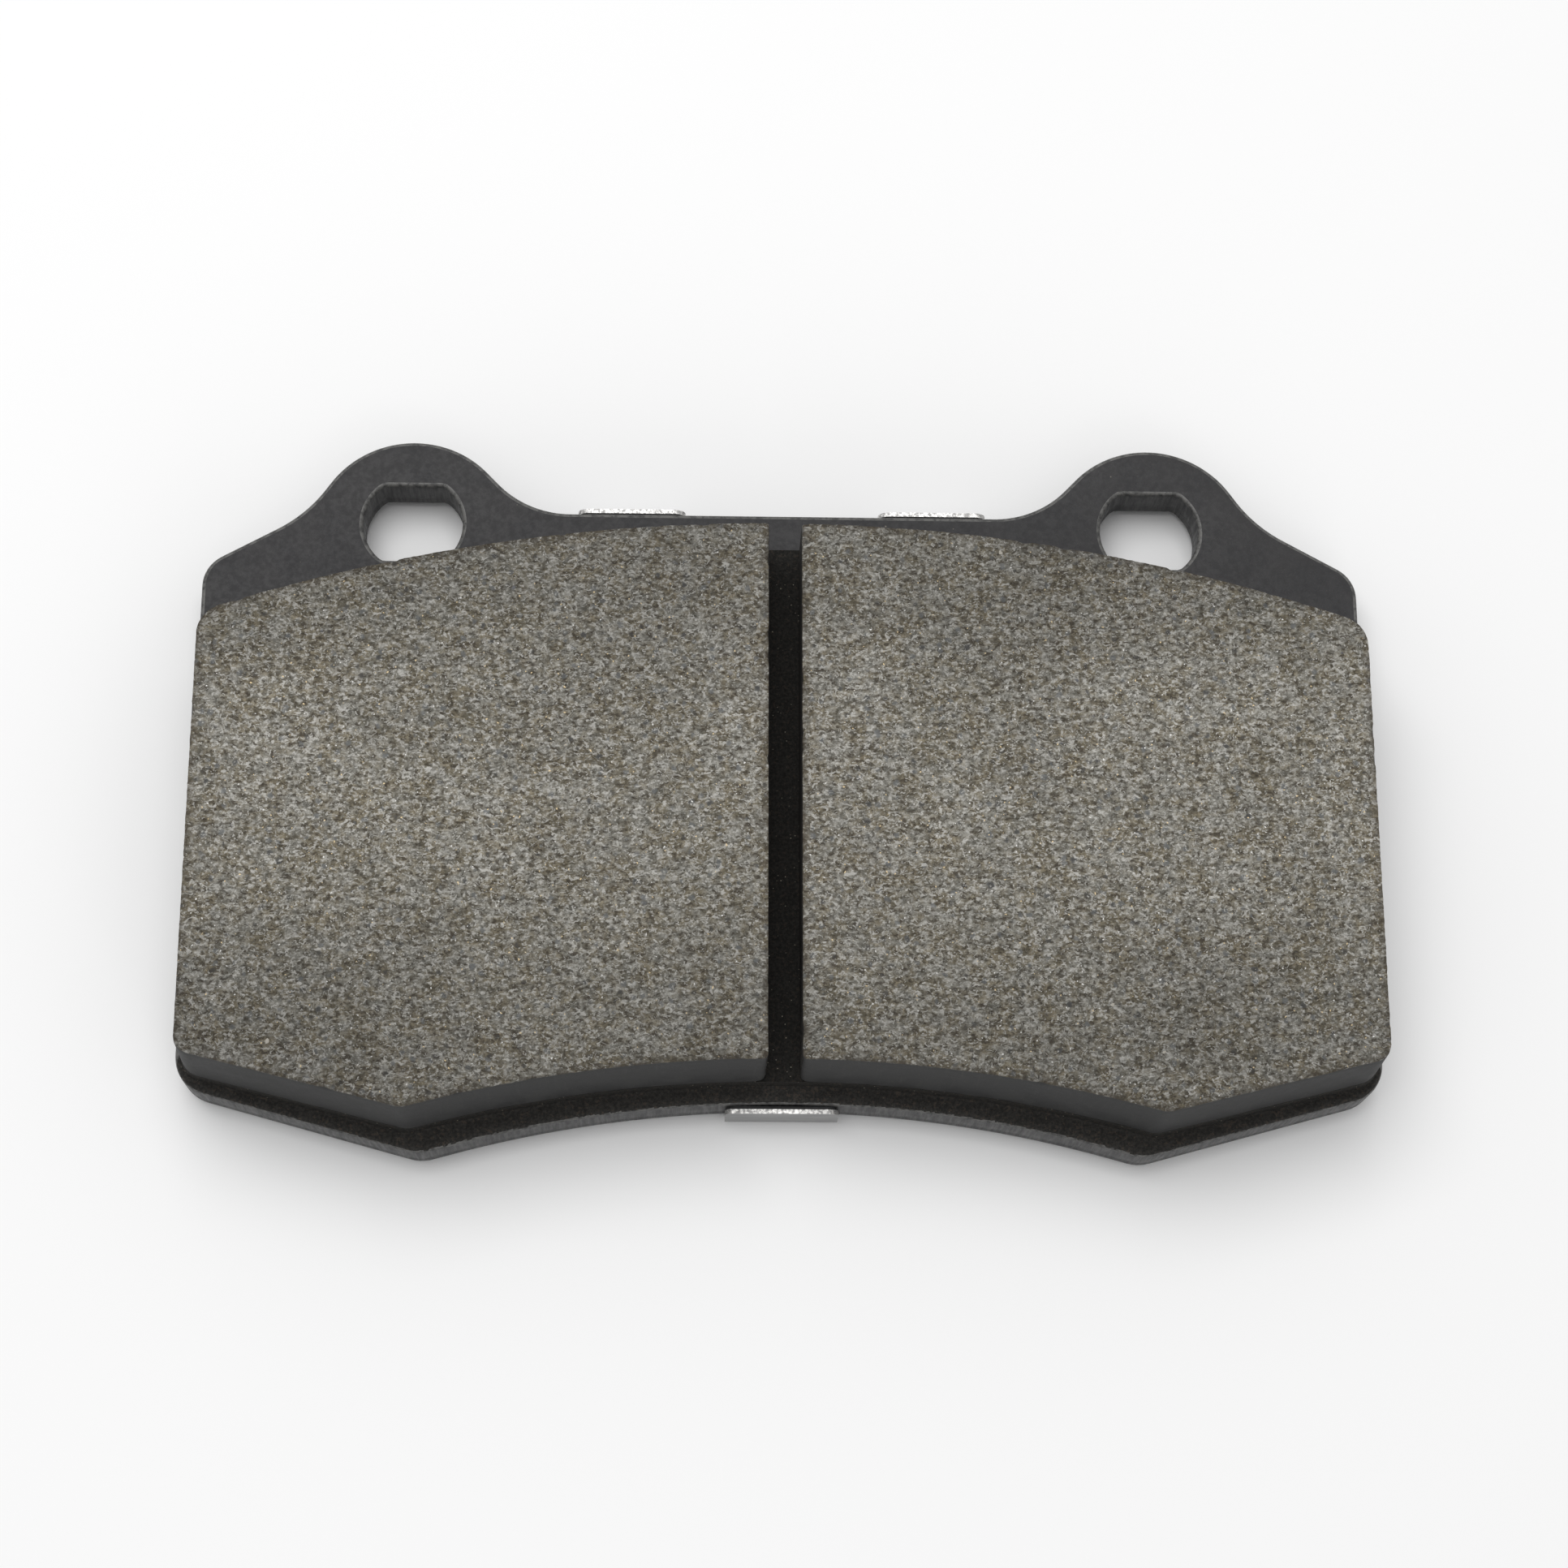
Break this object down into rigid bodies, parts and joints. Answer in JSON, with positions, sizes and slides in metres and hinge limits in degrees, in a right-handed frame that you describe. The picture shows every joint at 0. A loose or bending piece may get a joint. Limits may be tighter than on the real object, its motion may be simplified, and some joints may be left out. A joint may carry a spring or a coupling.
{
  "type": "disc brake pad",
  "caption": "Disc brake pad: eared steel backing plate with a slotted friction block on its front and a tabbed damping shim on its back.",
  "frame": {"origin": "under the middle of the pad's box, on the plane of the shim's back", "axes": "+X along the pad's width, +Y towards the ears, +Z out of the friction face"},
  "size_m": [0.131, 0.0824, 0.0174],
  "materials": {
    "backing_plate": "matte dark grey powder coat with a fine orange-peel",
    "underlayer": "rough black moulded compound with light specks",
    "friction": "ground grey friction composite, mottled, with light flecks and fibres",
    "shim_steel": "matte grey coated steel sheet, bright at the cut edges",
    "shim_rubber": "black nitrile rubber",
    "shim_film": "amber pressure-sensitive film"
  },
  "bodies": {
    "root": {"backing_plate": "backing_plate", "underlayer": "underlayer", "friction_block_left": "friction", "friction_block_right": "friction", "shim_steel": "shim_steel", "shim_rubber": "shim_rubber", "shim_adhesive_film": "shim_film"}
  },
  "joints": []
}
